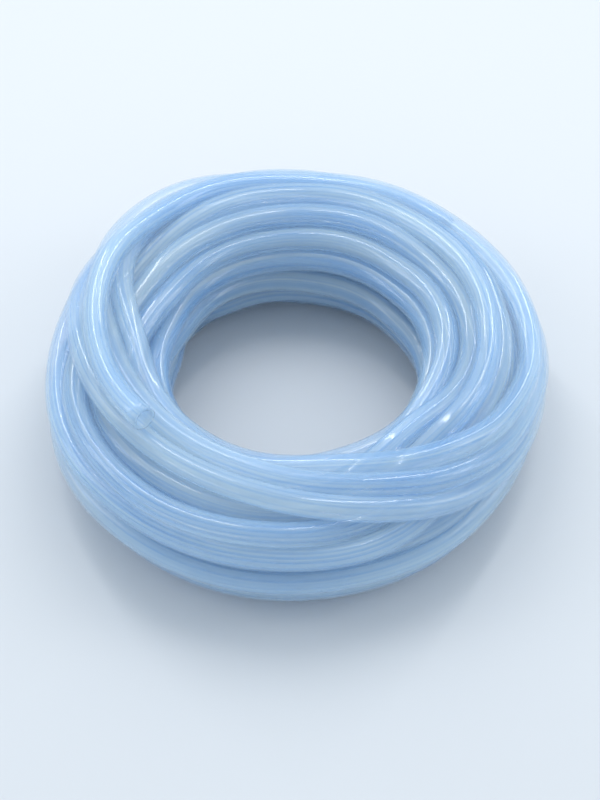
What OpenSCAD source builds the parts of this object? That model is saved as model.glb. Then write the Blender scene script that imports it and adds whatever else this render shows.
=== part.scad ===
// Coil of soft silicone tubing, lying flat, with both ends cut square and open.
// The origin is at the middle of the coil, on the surface that it lies on.

/* [Tube] */
// Outside diameter of the tube
tube_od = 10; // [6:0.5:14]
// Bore of the tube
bore_d = 7; // [3:0.5:11]
// Soft edge at the mouth of the bore
mouth_bevel = 0.2; // [0.1:0.05:0.4]

/* [Lower turns] */
// Diameter of the open middle of the coil
hole_d = 100; // [80:5:160]
// Turns side by side in the bottom row
bottom_turns = 3; // [2:1:4]
// Rows above the bottom one that each have one turn more than the row below
wider_rows = 2; // [1:1:3]
// Rows above those, with one turn less and as many turns by turns
straight_rows = 2; // [0:2:4]
// How far neighbouring turns press into each other
squeeze = 0.2; // [0.1:0.05:0.5]
// Depth of the flat that the weight presses into the bottom row
flat_depth = 0.3; // [0.1:0.05:0.6]

/* [Upper turns] */
// Direction, seen from above, of the place where the upper turns ride highest
high_direction = 220; // [200:5:240]
// Tilt of the upper turns against the lower ones
upper_tilt = 5; // [3:0.5:7]
// Distance of the upper turns' middle from that of the lower ones, away from the highest place
upper_shift = 8; // [4:0.5:10]
// How much wider the upper turns are than the lower ones, at the middle of each
upper_spread = 5; // [3:0.5:6]

/* [Free end] */
// Direction, seen from above, of the place where the free end leaves the last turn
free_direction = 205; // [180:1:210]
// Angle over which the last turn climbs out of the upper turns
climb_angle = 130; // [100:5:160]
// Radius of the upward bend near the cut
free_bend_radius = 45; // [40:1:80]
// Angle of that bend
free_bend_angle = 26; // [10:1:40]
// Lean of the bend, from 0 for level to 90 for straight up
free_lean = 80; // [60:1:95]
// Straight stretch up to the cut
free_straight = 15; // [10:1:30]

/* [Start end] */
// Direction, seen from above, of the place where the start end leaves the coil
start_direction = 140; // [130:1:160]
// Angle over which the first turn slips in under the coil
slip_angle = 66; // [50:1:80]
// Radius of the first turn as it slips in
slip_radius = 70; // [60:1:80]
// Angle that the start end still follows the coil
start_arc = 10; // [5:1:20]
// Straight stretch up to the cut
start_straight = 18; // [10:1:30]
// Gap between a loose end and what it lies on or beside
seat_gap = 0.3; // [0.1:0.05:0.5]

/* [Hidden] */
$fn = 96;
tube_fn = 48;
past = 1;                               // how far a cutting shape runs past what it cuts

pitch = tube_od - squeeze;              // centre to centre of two turns that touch
row_rise = pitch * sin(60);             // one row lies in the grooves of the one below
clear_d = tube_od + seat_gap;
groove_cap = tube_od * 0.3;             // closes the grooves that the upper turns lie on

lower_rows = 1 + wider_rows + straight_rows;
widest_turns = bottom_turns + wider_rows;
lower_r = hole_d / 2 + tube_od / 2 + pitch * (widest_turns - 1) / 2;

// Each group lies half the shift to its own side of the origin.
side_step = upper_shift / 2;
upper_r = lower_r + upper_spread;
upper_z = row_z(lower_rows);            // where the upper turns ride highest

// The last turn lies in a groove of the upper turns and climbs to a small gap above them.
last_rise = row_rise * 2 + seat_gap;
groove_r = upper_r + pitch / 2;
climb_tilt = asin((row_rise + seat_gap) / (groove_r * (1 - cos(climb_angle))));
last_r = groove_r / cos(climb_tilt);

// The first turn lies on the surface, clear of the bottom row and under the second.
first_z = tube_od / 2 + seat_gap;
first_r = max(lower_r + reach(1) + sqrt(pow(clear_d, 2) - pow(row_z(1) - first_z, 2)),
              lower_r + reach(0) + clear_d);

function turns_in(row) =
    row <= wider_rows ? bottom_turns + row : widest_turns - (row - wider_rows) % 2;
function reach(row) = pitch * (turns_in(row) - 1) / 2;
function row_z(row) = tube_od / 2 - flat_depth + row * row_rise;

module tube_section(d = tube_od) {
    circle(d = d, $fn = tube_fn);
}

// Section of a group: rows of turns about a middle, with the core between them closed.
// The core can reach above the centres of the top row, to close the grooves there.
module group_section(middle_r, counts, low_z, cap = 0) {
    half = [for (n = counts) pitch * (n - 1) / 2];
    top = len(counts) - 1;
    cap_z = low_z + top * row_rise + cap;
    for (row = [0 : top], turn = [0 : counts[row] - 1])
        translate([middle_r - half[row] + turn * pitch, low_z + row * row_rise])
            tube_section();
    polygon(concat(
        [for (row = [0 : top]) [middle_r + half[row], low_z + row * row_rise]],
        [for (side = cap > 0 ? [1, -1] : []) [middle_r + side * (half[top] - cap), cap_z]],
        [for (row = [top : -1 : 0]) [middle_r - half[row], low_z + row * row_rise]]
    ));
}

// Places what belongs to the lower turns.
module below() {
    rotate([0, 0, high_direction]) translate([side_step, 0, 0])
        rotate([0, 0, -high_direction]) children();
}

// Places what belongs to the upper turns, with +x towards the free end.
module above() {
    rotate([0, 0, high_direction])
        translate([-side_step, 0, upper_z - upper_r * sin(upper_tilt)])
            rotate([0, -upper_tilt, 0])
                rotate([0, 0, free_direction - high_direction]) children();
}

module lower_turns() {
    below() difference() {
        rotate_extrude()
            group_section(lower_r, [for (row = [0 : lower_rows - 1]) turns_in(row)],
                          row_z(0), groove_cap);
        translate([0, 0, -tube_od]) cylinder(r = lower_r * 2, h = tube_od);
    }
}

module upper_turns() {
    above() rotate_extrude()
        group_section(upper_r, [widest_turns - 2, widest_turns - 1, widest_turns - 2], -row_rise);
}

// The last turn, highest where the free end leaves it.
module last_turn() {
    above() translate([0, 0, last_rise - last_r * sin(climb_tilt)])
        rotate([0, -climb_tilt, 0])
            rotate_extrude(angle = -climb_angle)
                translate([last_r, 0]) tube_section();
}

// The first turn, which slips in under the coil.
module first_turn() {
    below() rotate([0, 0, start_direction])
        translate([first_r - slip_radius, 0, first_z])
            rotate_extrude(angle = slip_angle)
                translate([slip_radius, 0]) tube_section();
}

// Places what lies past a bend towards -x, with +z along the straight stretch.
module past_bend(bend_radius, bend_angle) {
    translate([-bend_radius, 0, 0]) rotate([0, 0, bend_angle])
        translate([bend_radius, 0, 0]) rotate([-90, 0, 0]) children();
}

// A bar from the origin along +y: a bend towards -x, then a straight stretch.
module bent_bar(d, bend_radius, bend_angle, straight, spare = 0) {
    translate([-bend_radius, 0, 0]) rotate([0, 0, bend_angle])
        rotate_extrude(angle = -bend_angle - spare)
            translate([bend_radius, 0]) tube_section(d);
    past_bend(bend_radius, bend_angle)
        cylinder(d = d, h = straight + spare, $fn = tube_fn);
}

// An open end of the tube, cut square.
module cut_end(bend_radius, bend_angle, straight) {
    difference() {
        bent_bar(tube_od, bend_radius, bend_angle, straight);
        bent_bar(bore_d, bend_radius, bend_angle, straight, past);
        past_bend(bend_radius, bend_angle)
            translate([0, 0, straight - mouth_bevel])
                cylinder(d1 = bore_d, d2 = bore_d + 2 * (mouth_bevel + past),
                         h = mouth_bevel + past, $fn = tube_fn);
    }
}

module wound_turns() {
    color("lightsteelblue") {
        lower_turns();
        upper_turns();
        last_turn();
        first_turn();
    }
}

module free_end() {
    color("lightblue")
        above() translate([last_r * cos(climb_tilt), 0, last_rise])
            rotate([0, free_lean, 0])
                cut_end(free_bend_radius, free_bend_angle, free_straight);
}

module start_end() {
    color("lightblue")
        below() rotate([0, 0, start_direction])
            translate([first_r, 0, first_z])
                mirror([0, 1, 0]) cut_end(first_r, start_arc, start_straight);
}

wound_turns();
free_end();
start_end();
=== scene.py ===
import math
import bmesh
import bpy
import numpy as np
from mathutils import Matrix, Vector


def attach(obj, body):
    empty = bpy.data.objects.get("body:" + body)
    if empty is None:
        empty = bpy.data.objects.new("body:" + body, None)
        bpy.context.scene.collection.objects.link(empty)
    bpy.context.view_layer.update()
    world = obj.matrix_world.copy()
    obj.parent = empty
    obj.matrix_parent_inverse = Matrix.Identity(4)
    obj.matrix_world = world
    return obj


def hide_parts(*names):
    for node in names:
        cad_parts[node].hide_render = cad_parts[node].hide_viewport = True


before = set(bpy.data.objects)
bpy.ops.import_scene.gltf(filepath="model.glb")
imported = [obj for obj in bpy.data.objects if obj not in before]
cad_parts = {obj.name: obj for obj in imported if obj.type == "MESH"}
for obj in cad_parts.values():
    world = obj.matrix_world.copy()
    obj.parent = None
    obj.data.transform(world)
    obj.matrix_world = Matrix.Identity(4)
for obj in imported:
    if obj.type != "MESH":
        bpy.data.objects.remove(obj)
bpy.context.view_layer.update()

camera = {
    "lookAt": (0.0004, -0.0153, 0.030),
    "elevation": 52.0,
    "distance": 0.798,
    "lens": 119.0,
    "sensor": 36.0,
    "sees": (0.01, 20),      # nearest and furthest that it sees
}


def placeCamera():
    up = math.radians(camera["elevation"])
    data = bpy.data.cameras.new("camera")
    data.sensor_fit = "HORIZONTAL"
    data.sensor_width = camera["sensor"]
    data.lens = camera["lens"]
    data.clip_start, data.clip_end = camera["sees"]
    holder = bpy.data.objects.new("camera", data)
    bpy.context.scene.collection.objects.link(holder)
    away = Vector((0, -math.cos(up), math.sin(up))) * camera["distance"]
    holder.location = Vector(camera["lookAt"]) + away
    holder.rotation_euler = (math.pi / 2 - up, 0, 0)
    bpy.context.scene.camera = holder


placeCamera()
print("camera placed")

tubing = {
    "outer": 0.010,
    "bore": 0.007,
    "ringGap": 0.005,
    "outerSides": 26,
    "boreSides": 18,
    "boreDepth": 0.26,       # the bore is closed this far in from each cut, where no one sees it
    "tightest": 0.042,       # radius of the tightest bend
    "pitch": 0.0098,         # centre to centre of two turns that touch
    "rowRise": 0.866,        # height of a row above the one below, in pitches
    "lowest": 0.005,         # height of the bottom turns' middles
    "planes": 96,            # stations round one turn
    "startAngle": 121.7,
    "endAngle": 227.0,

    # turns under the crossing ones, in rows from the surface up: places in pitches from the middle
    "highSide": 232.0,       # where the crossing turns ride highest, seen from above
    "highMiddle": 0.0770,    # middle of the bundle there, and across from there
    "farMiddle": 0.0715,
    "highRows": ((1, 0, -1), (-1.5, -.5, .5, 1.5), (2, 1, 0, -1, -2), (-1.5, -.5, .5, 1.5),
                 (2, 1, 0, -1, -2), (-.5, .5, 1.5)),
    "farRows": ((1, 0, -1), (-1.5, -.5, .5, 1.5), (2, 1, 0, -1, -2), (-1.5, -.5, .5, 1.5),
                (1, 0, -1, -2), (-1.5, -.5, .5), (0,)),
    "topRise": 0.43,         # how far above the last of them the next one starts, in pitches
    "farShape": (0.85, 1.1),  # width and height of the bundle across, against the high side's
    "leave": (0, 0.27),      # share of a turn at which it leaves its slot, and over how much
    "arrive": (0.62, 0.3),

    # band of three turns over the others: direction, radius, height (mm), lean
    "bandTurns": 3,
    "bandPlaces": ((0, 96, 30, -82), (45, 94, 34, -74), (90, 89.5, 40.5, -58), (125, 90, 46, -42),
                   (160, 83, 52, -16), (190, 74, 55.5, 4), (225, 71.5, 56, 10), (270, 75.5, 55, 12),
                   (292, 79.5, 53.5, 2), (310, 86, 49, -20), (332, 93.5, 40, -50)),
    "bandChange": (0.62, 0.35),
    "toBand": (0.58, 0.35),  # turns before the band starts, and over how much the tube goes there

    # last turn, on top of the coil: direction, radius, height (mm)
    "lastTurn": ((40, 84, 44), (75, 80.5, 50), (105, 79, 55), (135, 79.5, 60.5), (180, 79.5, 65),
                 (205, 79.5, 66.5), (227, 82.2, 75)),
    "toLast": (20, 70),      # degrees where it starts, and over how many the tube goes there
    "lastBlur": 3,

    # outline of the whole bundle: direction, middle radius, half width, half height (mm)
    "bundleShape": ((0, 74.7, 26.6, 32), (35, 72.2, 26.7, 31.5), (60, 72.5, 25.5, 30.5),
                    (90, 73.8, 25.7, 30), (120, 77.3, 28, 32), (145, 74.5, 28.3, 33),
                    (162, 73.5, 26, 33), (180, 75, 26, 33), (205, 79.8, 25.8, 33),
                    (235, 80.3, 24.8, 32.5), (270, 78.5, 24.6, 31), (315, 76, 24.8, 31.5),
                    (340, 74, 25, 32)),
}

# the start end lies on the surface outside the coil and slips in under it (mm, degrees)
startEnd = {
    "tip": (-50.9, 82.5),
    "straight": 18.0,
    "heading": 40.0,         # which way the cut faces
    "middle": (-3.064, -2.571),
    "radius": 95.9,
    "arc": (131.0, 140.0),
    "slipRadius": 70.0,
    "slip": (142.0, 206.0),
    "height": 5.3,
    "toBundle": (190, 25),   # where it starts to join the bundle, and over how many degrees
    "joined": 215,
}

# how the turns press each other into place
settling = {
    "steps": 900,
    "apart": 0.0099,         # turns are pushed until their middles are this far apart
    "pushApart": 1.3,
    "pushIn": 0.6,           # into the bundle's outline
    "pushUp": 0.8,           # off the surface
    "corner": 2.3,           # 2 makes the outline an ellipse, more squares it
    "blur": (9, 4),          # stations that a push spreads over, at first and at last
    "straighten": (0.8, 0.3),  # tightness where the tube eases its bend, and over how much
    "easeBlur": 4,
    "easeShare": 0.5,
    "relax": 0.7,            # how much the hold weakens by the end
    "hold": 0.003,           # how firmly a turn keeps the place that it wants
    "bandHold": 0.012,       # and how much more firmly in the band and at the two ends
    "bandHeld": (0.6, 0.3),
    "lastHold": 0.1,
    "lastHeld": (150, 60),
    "startHold": 0.12,
    "startHeld": (160, 40),
    "pressedAfter": (185, 50),  # degrees of the first and of the last turn, outside which
    "pressedUntil": (70, 80),   # the outline doesn't press on the tube
}


def soften(share):
    share = np.clip(share, 0, 1)
    return share * share * (3 - 2 * share)


def growFrom(value, start, over):
    return soften((value - start) / over)


def rowPlaces(rows, middle):
    pitch = tubing["pitch"]
    return np.array([(middle + place * pitch, tubing["lowest"] + row * pitch * tubing["rowRise"])
                     for row, places in enumerate(rows) for place in places])


def roundKeys(keys, angle):
    # smooth line through keys at given directions, closed round the circle
    keys = np.array(keys, float)
    at = keys[:, 0]
    gap = np.diff(np.append(at, at[0] + 360))
    degrees = np.degrees(angle) % 360
    index = np.searchsorted(at, degrees, side="right") - 1
    after = (index + 1) % len(at)
    slope = (np.roll(keys[:, 1:], -1, 0) - np.roll(keys[:, 1:], 1, 0)) / (gap + np.roll(gap, 1))[:, None]
    share = ((degrees - at[index]) / gap[index])[:, None]
    width = gap[index][:, None]
    here, there = keys[index, 1:], keys[after, 1:]
    leave = width * slope[index] * share * (1 - share) ** 2
    arrive = width * slope[after] * share * share * (1 - share)
    return here + (there - here) * soften(share) + leave - arrive


def matchPlaces(wish, places):
    # gives each wished place the slot that keeps all of them nearest, by swapping pairs
    order = np.arange(len(wish))
    cost = ((wish[:, None] - places[None]) ** 2).sum(2)
    better = True
    while better:
        better = False
        for one in range(len(wish)):
            for two in range(one + 1, len(wish)):
                a, b = order[one], order[two]
                if cost[one, b] + cost[two, a] < cost[one, a] + cost[two, b] - 1e-12:
                    order[one], order[two] = b, a
                    better = True
    return places[order]


def innerTurns(turn):
    # section places of the turns below the band: one set at the high side, one across from it
    highMiddle, farMiddle = tubing["highMiddle"], tubing["farMiddle"]
    high = rowPlaces(tubing["highRows"], highMiddle)
    far = rowPlaces(tubing["farRows"], farMiddle)
    following = np.vstack([high[1:], high[-1:] + (0, tubing["pitch"] * tubing["topRise"])])
    wish = ((high + following) / 2 - (highMiddle, 0)) * tubing["farShape"] + (farMiddle, 0)
    far = np.vstack([high[:1], matchPlaces(wish, far)])
    high = np.vstack([high[:1], high, following[-1:]])
    index = np.clip(np.floor(turn).astype(int), -1, len(far) - 2)
    share = (turn - index)[:, None]
    here, across, there = high[index + 1], far[index + 1], high[index + 2]
    leave, arrive = growFrom(share, *tubing["leave"]), growFrom(share, *tubing["arrive"])
    return here + (across - here) * leave + (there - across) * arrive


def bandPlace(angle, drift):
    # the band's turns lie side by side, and the tube moves on one seat each time round
    radius, height, lean = roundKeys(tubing["bandPlaces"], angle).T
    lead, over = tubing["bandChange"]
    whole = np.floor(drift + lead)
    seat = np.clip(whole - 1 + soften((drift + lead - whole) / over), 0, tubing["bandTurns"] - 1)
    off = (1 - seat) * tubing["pitch"] * 1000
    lean = np.radians(lean)
    return np.stack([radius + off * np.cos(lean), height + off * np.sin(lean)], 1) / 1000


def startStretch(degrees):
    # radius of the start end and of the first turn as it slips in
    def turned(angle, size):
        angle = np.radians(angle)
        return np.stack([np.cos(angle), np.sin(angle)], -1) * size

    middle = np.array(startEnd["middle"])
    back = np.linspace(0, startEnd["straight"], 10)[:, None]
    straight = np.array(startEnd["tip"]) - back * turned(startEnd["heading"], 1)
    arc = middle + turned(np.linspace(*startEnd["arc"], 8), startEnd["radius"])
    slipMiddle = middle + turned(startEnd["arc"][1], startEnd["radius"] - startEnd["slipRadius"])
    slip = slipMiddle + turned(np.linspace(*startEnd["slip"], 30), startEnd["slipRadius"])
    path = np.vstack([straight, arc, slip])
    around = np.degrees(np.arctan2(path[:, 1], path[:, 0])) % 360
    return np.interp(degrees, around, np.hypot(path[:, 0], path[:, 1])) / 1000


def layTurns():
    # where the tube wants to lie: radius and height at each station, and how firmly it is held there
    inner = sum(len(row) for row in tubing["highRows"])
    whole = inner + tubing["bandTurns"]
    step = 2 * math.pi / tubing["planes"]
    first = math.ceil(math.radians(tubing["startAngle"]) / step)
    last = math.floor((math.radians(tubing["endAngle"]) + 2 * math.pi * whole) / step)
    angle = np.arange(first, last + 1) * step
    turn = (angle - math.radians(tubing["highSide"])) / (2 * math.pi)
    degrees = np.degrees(angle)
    lastDegrees = degrees - 360 * whole

    before, over = tubing["toBand"]
    toBand = growFrom(turn, inner - before, over)[:, None]
    place = innerTurns(turn) * (1 - toBand) + bandPlace(angle, turn - inner) * toBand

    keys = np.array(tubing["lastTurn"], float)
    onTop = np.stack([np.interp(lastDegrees, keys[:, 0], keys[:, i]) for i in (1, 2)], 1) / 1000
    onTop = blurAlong(onTop, tubing["lastBlur"])
    toLast = growFrom(lastDegrees, *tubing["toLast"])[:, None]
    place = place * (1 - toLast) + onTop * toLast

    outside = np.stack([startStretch(degrees), np.full(len(degrees), startEnd["height"] / 1000)], 1)
    toBundle = growFrom(degrees, *startEnd["toBundle"])[:, None]
    starting = degrees[:, None] < startEnd["joined"]
    place = np.where(starting, outside * (1 - toBundle) + place * toBundle, place)

    before, over = settling["bandHeld"]
    hold = settling["hold"] + settling["bandHold"] * growFrom(turn, inner - before, over)
    hold += settling["lastHold"] * growFrom(lastDegrees, *settling["lastHeld"])
    hold += settling["startHold"] * (1 - growFrom(degrees, *settling["startHeld"]))
    pressed = 1 - growFrom(lastDegrees, *settling["pressedUntil"])
    pressed *= growFrom(degrees, *settling["pressedAfter"])
    return angle, place, hold[:, None], pressed[:, None], first % tubing["planes"]


def blurAlong(values, width):
    reach = int(math.ceil(3 * width))
    weight = np.exp(-0.5 * (np.arange(-reach, reach + 1) / width) ** 2)
    weight /= weight.sum()
    padded = np.pad(values, ((reach, reach), (0, 0)), mode="edge")
    return np.stack([np.convolve(padded[:, i], weight, "valid") for i in range(values.shape[1])], 1)


def spaceLine(angle, place):
    # the stations as points in space
    return np.stack([place[:, 0] * np.cos(angle), place[:, 0] * np.sin(angle), place[:, 1]], 1)


def tightness(angle, place):
    # bend at each station, as a share of the tightest that the tube may take
    line = spaceLine(angle, place)
    way = line[4:] - line[:-4]
    turn = line[4:] - 2 * line[2:-2] + line[:-4]
    long = np.linalg.norm(way, axis=1)
    bend = np.linalg.norm(turn, axis=1) / (long / 2) ** 2
    return np.pad(bend * tubing["tightest"], 2, mode="edge")[:, None]


def settleTurns(angle, place, hold, pressed, lead):
    # presses the turns into the bundle and apart from each other, in long smooth stretches
    home = place.copy()
    want, corner = settling["apart"], settling["corner"]
    wide, narrow = settling["blur"]
    planes, count = tubing["planes"], len(place)
    rows = -(-(lead + count) // planes)
    one, two = np.triu_indices(rows, 1)
    middle, halfWidth, halfHeight = roundKeys(tubing["bundleShape"], angle).T / 1000
    centre = np.stack([middle, halfHeight], 1)
    room = np.stack([halfWidth, halfHeight], 1) - tubing["outer"] / 2
    for step in range(settling["steps"]):
        share = step / settling["steps"]
        # a row for each turn and a column for each direction, far away where there is no tube
        grid = np.full((rows * planes, 2), 9.0)
        grid[:lead] = 5.0
        grid[lead:lead + count] = place
        grid = grid.reshape(rows, planes, 2)
        apart = grid[two] - grid[one]
        gap = np.sqrt((apart ** 2).sum(2)) + 1e-9
        near = gap < want
        press = (np.where(near, (want - gap) / gap, 0) * 0.5)[..., None] * apart
        move = np.zeros_like(grid)
        hits = np.zeros((rows, planes, 1))
        np.add.at(move, two, press)
        np.add.at(move, one, -press)
        np.add.at(hits, one, near[..., None])
        np.add.at(hits, two, near[..., None])
        move = (move / np.sqrt(np.maximum(hits, 1))).reshape(-1, 2)[lead:lead + count]
        move *= settling["pushApart"]
        out = (np.abs((place - centre) / room) ** corner).sum(1) ** (1 / corner)
        back = (1 - 1 / np.maximum(out, 1))[:, None] * pressed
        move -= settling["pushIn"] * back * (place - centre)
        move[:, 1] += settling["pushUp"] * np.maximum(tubing["lowest"] - place[:, 1], 0)
        place = place + blurAlong(move, wide * (1 - share) + narrow * share)
        place = place + (home - place) * hold * (1 - settling["relax"] * share)
        ease = growFrom(tightness(angle, place), *settling["straighten"])
        ease = settling["easeShare"] * blurAlong(ease, settling["easeBlur"])
        place = place + ease * (blurAlong(place, settling["easeBlur"]) - place)
    return place


def evenLine(line, gap):
    # smooth line through the stations, its points the same distance apart
    run = np.concatenate([[0], np.cumsum(np.linalg.norm(np.diff(line, axis=0), axis=1))])
    places = np.linspace(0, run[-1], int(run[-1] / gap) + 1)
    index = np.clip(np.searchsorted(run, places) - 1, 1, len(line) - 3)
    share = ((places - run[index]) / (run[index + 1] - run[index]))[:, None]
    a, b, c, d = (line[index + i] for i in (-1, 0, 1, 2))
    return b + 0.5 * share * (c - a + share * (2 * a - 5 * b + 4 * c - d + share * (3 * (b - c) + d - a)))


def windTube():
    angle, place, hold, pressed, lead = layTurns()
    place = settleTurns(angle, place, hold, pressed, lead)
    line = evenLine(spaceLine(angle, place), tubing["ringGap"])
    line[:, 2] += tubing["outer"] / 2 - line[:, 2].min()
    return line


tubeLine = windTube()


class Nodes:
    # one maker of nodes for a tree
    def __init__(self, tree):
        self.tree = tree

    def add(self, kind, settings=None, **inputs):
        node = self.tree.nodes.new(kind)
        for name, value in (settings or {}).items():
            setattr(node, name, value)
        for name, value in inputs.items():
            self.feed(node, name.replace("_", " "), value)
        return node

    def feed(self, node, name, value):
        # a socket goes by its name, or by i and its number
        socket = node.inputs[int(name[1:])] if name[0] == "i" and name[1:].isdigit() else node.inputs[name]
        if isinstance(value, Wire):
            value = value.socket
        if isinstance(value, bpy.types.NodeSocket):
            self.tree.links.new(value, socket)
        else:
            socket.default_value = value


class Wire:
    # a number in a node tree that can be reckoned with
    def __init__(self, make, socket):
        self.make = make
        self.socket = socket

    def reckon(self, operation, one, two=0.0):
        node = self.make.add("ShaderNodeMath", {"operation": operation}, i0=one, i1=two)
        return Wire(self.make, node.outputs[0])

    def __add__(self, other):
        return self.reckon("ADD", self, other)

    __radd__ = __add__

    def __sub__(self, other):
        return self.reckon("SUBTRACT", self, other)

    def __mul__(self, other):
        return self.reckon("MULTIPLY", self, other)

    __rmul__ = __mul__

    def __truediv__(self, other):
        return self.reckon("DIVIDE", self, other)

    def sine(self):
        return self.reckon("SINE", self)

    def step(self, low, high):
        node = self.make.add("ShaderNodeMapRange", {"interpolation_type": "SMOOTHSTEP"},
                             Value=self, From_Min=low, From_Max=high)
        return Wire(self.make, node.outputs[0])


def sweepTree():
    # sweeps the outer wall along the whole path, and the bore's wall along both its ends
    tree = bpy.data.node_groups.new("tubeSweep", "GeometryNodeTree")
    face = tree.interface
    face.new_socket("Geometry", in_out="INPUT", socket_type="NodeSocketGeometry")
    for name, kind in (("Outer Diameter", "Float"), ("Outer Sides", "Int"), ("Bore Diameter", "Float"),
                       ("Bore Sides", "Int"), ("Bore Depth", "Float"), ("Material", "Material")):
        face.new_socket(name, in_out="INPUT", socket_type="NodeSocket" + kind)
    face.new_socket("Geometry", in_out="OUTPUT", socket_type="NodeSocketGeometry")
    make = Nodes(tree)
    given = make.add("NodeGroupInput").outputs

    def marked(geometry, name, value):
        node = make.add("GeometryNodeStoreNamedAttribute", {"data_type": "FLOAT", "domain": "POINT"},
                        Geometry=geometry, Name=name, Value=value)
        return node.outputs["Geometry"]

    def wall(part, curve):
        radius = Wire(make, given[part + " Diameter"]) / 2.0
        ring = make.add("GeometryNodeCurvePrimitiveCircle", Resolution=given[part + " Sides"], Radius=radius)
        share = make.add("GeometryNodeSplineParameter").outputs["Factor"]
        profile = marked(ring.outputs["Curve"], "around", share)
        return make.add("GeometryNodeCurveToMesh", Curve=curve, Profile_Curve=profile).outputs["Mesh"]

    path = marked(given["Geometry"], "along", make.add("GeometryNodeSplineParameter").outputs["Length"])
    long = Wire(make, make.add("GeometryNodeCurveLength", Curve=path).outputs["Length"])
    ends = make.add("GeometryNodeJoinGeometry")
    for start, stop in ((0.0, given["Bore Depth"]), (long - given["Bore Depth"], long)):
        end = make.add("GeometryNodeTrimCurve", {"mode": "LENGTH"}, Curve=path, i4=start, i5=stop)
        make.feed(ends, "Geometry", end.outputs["Curve"])
    outside, inside = wall("Outer", path), wall("Bore", ends.outputs["Geometry"])
    turned = make.add("GeometryNodeFlipFaces", Mesh=inside)
    both = make.add("GeometryNodeJoinGeometry", Geometry=turned.outputs["Mesh"])
    make.feed(both, "Geometry", outside)
    whole = make.add("GeometryNodeRealizeInstances", Geometry=both.outputs["Geometry"])
    smooth = make.add("GeometryNodeSetShadeSmooth", Geometry=whole.outputs["Geometry"])
    painted = make.add("GeometryNodeSetMaterial", Geometry=smooth.outputs["Geometry"],
                       Material=given["Material"])
    make.add("NodeGroupOutput", Geometry=painted.outputs["Geometry"])
    return tree


silicone = {
    "pale": (0.72, 0.91, 1.0, 1),
    "deep": (0.26, 0.55, 0.97, 1),
    "roughness": (0.18, 0.34),
    "bends": 1.41,           # how strongly silicone bends light
    "body": 0.38,            # share of light that the skin stops, the rest passes through
    "gloss": 0.09,           # roughness of the smooth skin
    "skin": 1.9,             # how strongly the skin mirrors
    "sheen": 0.2,
    "sheenRoughness": 0.35,
    "sheenTint": (0.88, 0.95, 1, 1),

    # unevenness: how fast it changes along a metre and round the tube, its detail and seed
    "cloud": (9.0, 0.35, 0.0, 11.3),
    "haze": (60.0, 0.9, 1.0, 57.7),
    "dieLinesAndPaintedStreaks": (1.5, 3.8, 0.8, 93.1),  # faint lines along the tube: partly lines that the die leaves, partly painted highlight streaks

    # how much of the deep colour each brings, and between which of its values
    "cloudDepth": (0.40, 0.3, 0.7),
    "hazeDepth": (0.14, 0.35, 0.75),
    # the lines' pale and deep bands in the colour are partly painted highlight streaks along the tube
    "lineAndPaintedStreakDepth": (0.43, 0.38, 0.64),
    "lineHeight": 0.5,
    "hazeHeight": 0.3,
    "bumpStrength": 0.06,
    "bumpHeight": 0.0004,
}


def siliconeMaterial():
    material = bpy.data.materials.new("milkySilicone")
    material.use_nodes = True
    tree = material.node_tree
    tree.nodes.clear()
    make = Nodes(tree)

    def attribute(name):
        node = make.add("ShaderNodeAttribute", {"attribute_name": name, "attribute_type": "GEOMETRY"})
        return Wire(make, node.outputs["Fac"])

    along, turned = attribute("along"), attribute("around") * (2 * math.pi)

    def noiseOn(perMetre, perTurn, detail, seed):
        # noise that closes round the tube and runs along it
        place = make.add("ShaderNodeCombineXYZ", X=along * perMetre + seed, Y=turned.sine() * perTurn,
                         Z=(turned + math.pi / 2).sine() * perTurn)
        node = make.add("ShaderNodeTexNoise", Vector=place.outputs[0], Scale=1.0, Detail=detail)
        return Wire(make, node.outputs["Fac"])

    def depthOf(noise, amount, low, high):
        return amount * noise.step(low, high)

    # the die lines' pale and deep bands in the base colour are partly painted highlight streaks; their bump
    # is real
    cloud, haze, dieLinesAndPaintedStreaks = (noiseOn(*silicone[name]) for name in ("cloud", "haze", "dieLinesAndPaintedStreaks"))
    depth = (depthOf(cloud, *silicone["cloudDepth"]) + depthOf(haze, *silicone["hazeDepth"])
             + depthOf(dieLinesAndPaintedStreaks, *silicone["lineAndPaintedStreakDepth"]))
    mixed = make.add("ShaderNodeMix", {"data_type": "RGBA"}, i0=depth, i6=silicone["pale"],
                     i7=silicone["deep"])
    bump = make.add("ShaderNodeBump", Strength=silicone["bumpStrength"], Distance=silicone["bumpHeight"],
                    Height=dieLinesAndPaintedStreaks * silicone["lineHeight"] + haze * silicone["hazeHeight"])
    smoothest, roughest = silicone["roughness"]
    shader = make.add("ShaderNodeBsdfPrincipled", IOR=silicone["bends"], Base_Color=mixed.outputs[2],
                      Roughness=smoothest + (roughest - smoothest) * haze, Normal=bump.outputs[0],
                      Alpha=silicone["body"], Coat_Weight=1.0, Coat_Roughness=silicone["gloss"],
                      Coat_IOR=silicone["skin"], Sheen_Weight=silicone["sheen"],
                      Sheen_Roughness=silicone["sheenRoughness"], Sheen_Tint=silicone["sheenTint"])
    make.add("ShaderNodeOutputMaterial", Surface=shader.outputs["BSDF"])
    return material


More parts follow.
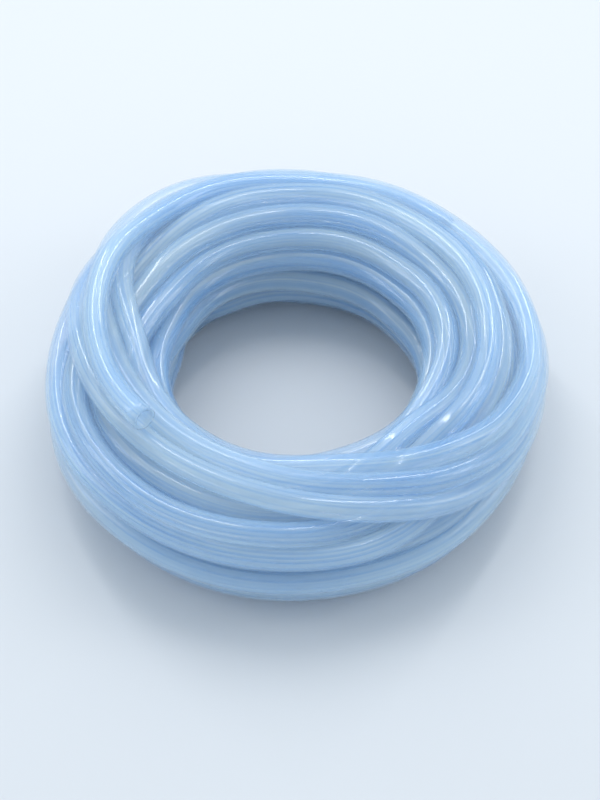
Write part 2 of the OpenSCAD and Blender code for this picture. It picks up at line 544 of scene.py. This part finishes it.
def sweptMesh():
    curve = bpy.data.curves.new("tubePath", "CURVE")
    curve.dimensions = "3D"
    spline = curve.splines.new("POLY")
    spline.points.add(len(tubeLine) - 1)
    spline.points.foreach_set("co", np.c_[tubeLine, np.ones(len(tubeLine))].ravel())
    holder = bpy.data.objects.new("tubePath", curve)
    bpy.context.scene.collection.objects.link(holder)
    tree = sweepTree()
    sweep = holder.modifiers.new("sweep", "NODES")
    sweep.node_group = tree
    values = {"Outer Diameter": tubing["outer"], "Outer Sides": tubing["outerSides"],
              "Bore Diameter": tubing["bore"], "Bore Sides": tubing["boreSides"],
              "Bore Depth": tubing["boreDepth"], "Material": siliconeMaterial()}
    for item in tree.interface.items_tree:
        if item.in_out == "INPUT" and item.name in values:
            sweep[item.identifier] = values[item.name]
    seen = bpy.context.evaluated_depsgraph_get()
    mesh = bpy.data.meshes.new_from_object(holder.evaluated_get(seen))
    bpy.data.objects.remove(holder)
    return mesh


def closeEnds(mesh):
    # joins the two walls at each cut, and closes the bore deep inside
    work = bmesh.new()
    work.from_mesh(mesh)
    rims = [edge for edge in work.edges if edge.is_boundary]
    for end in (tubeLine[0], tubeLine[-1]):
        here = [edge for edge in rims if (edge.verts[0].co - Vector(end)).length < tubing["outer"]]
        bmesh.ops.bridge_loops(work, edges=here)
    bmesh.ops.holes_fill(work, edges=[edge for edge in work.edges if edge.is_boundary], sides=0)
    bmesh.ops.recalc_face_normals(work, faces=work.faces)
    work.to_mesh(mesh)
    work.free()


def makeTube():
    mesh = sweptMesh()
    closeEnds(mesh)
    tube = bpy.data.objects.new("tubing", mesh)
    bpy.context.scene.collection.objects.link(tube)
    return tube


tube = makeTube()
print("tube swept,", len(tube.data.polygons), "faces")
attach(tube, "root")
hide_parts("wound_turns", "free_end", "start_end")

studio = {
    "floorSize": 8,
    "floor": (0.72, 0.74, 0.76, 1),
    "floorRoughness": 0.8,
    "sky": (0.80, 0.90, 1.0, 1),
    "skyStrength": 0.78,
    "aim": (0, 0, 0.03),
    "lamps": (               # name, place, size and power of each
        ("overhead", (0, 0.35, 0.9), (0.9, 0.4), 1.1),
        ("left", (-0.8, 0.0, 0.55), (0.25, 0.7), 1.0),
        ("right", (0.8, 0.0, 0.55), (0.25, 0.7), 1.0),
        ("stripLeft", (-0.3, 0.45, 0.8), (0.05, 0.9), 1.9),
        ("stripRight", (0.3, 0.45, 0.8), (0.05, 0.9), 1.9),
    ),
}


def makeStage():
    bpy.ops.mesh.primitive_plane_add(size=studio["floorSize"])
    floor = bpy.context.object
    floor.name = "floor"
    material = bpy.data.materials.new("paleFloor")
    material.use_nodes = True
    shader = material.node_tree.nodes["Principled BSDF"]
    shader.inputs["Base Color"].default_value = studio["floor"]
    shader.inputs["Roughness"].default_value = studio["floorRoughness"]
    floor.data.materials.append(material)
    world = bpy.data.worlds.new("studio")
    bpy.context.scene.world = world
    world.use_nodes = True
    back = world.node_tree.nodes["Background"]
    back.inputs["Color"].default_value = studio["sky"]
    back.inputs["Strength"].default_value = studio["skyStrength"]


def addLamp(name, place, size, power):
    data = bpy.data.lights.new(name, "AREA")
    data.shape = "RECTANGLE"
    data.size, data.size_y = size
    data.energy = power
    lamp = bpy.data.objects.new(name, data)
    bpy.context.scene.collection.objects.link(lamp)
    lamp.location = place
    lamp.rotation_euler = (Vector(studio["aim"]) - Vector(place)).to_track_quat("-Z", "Y").to_euler()


makeStage()
for lampFacts in studio["lamps"]:
    addLamp(*lampFacts)
bpy.context.scene.view_settings.view_transform = "Standard"
print("studio lit,", len(studio["lamps"]), "lamps")
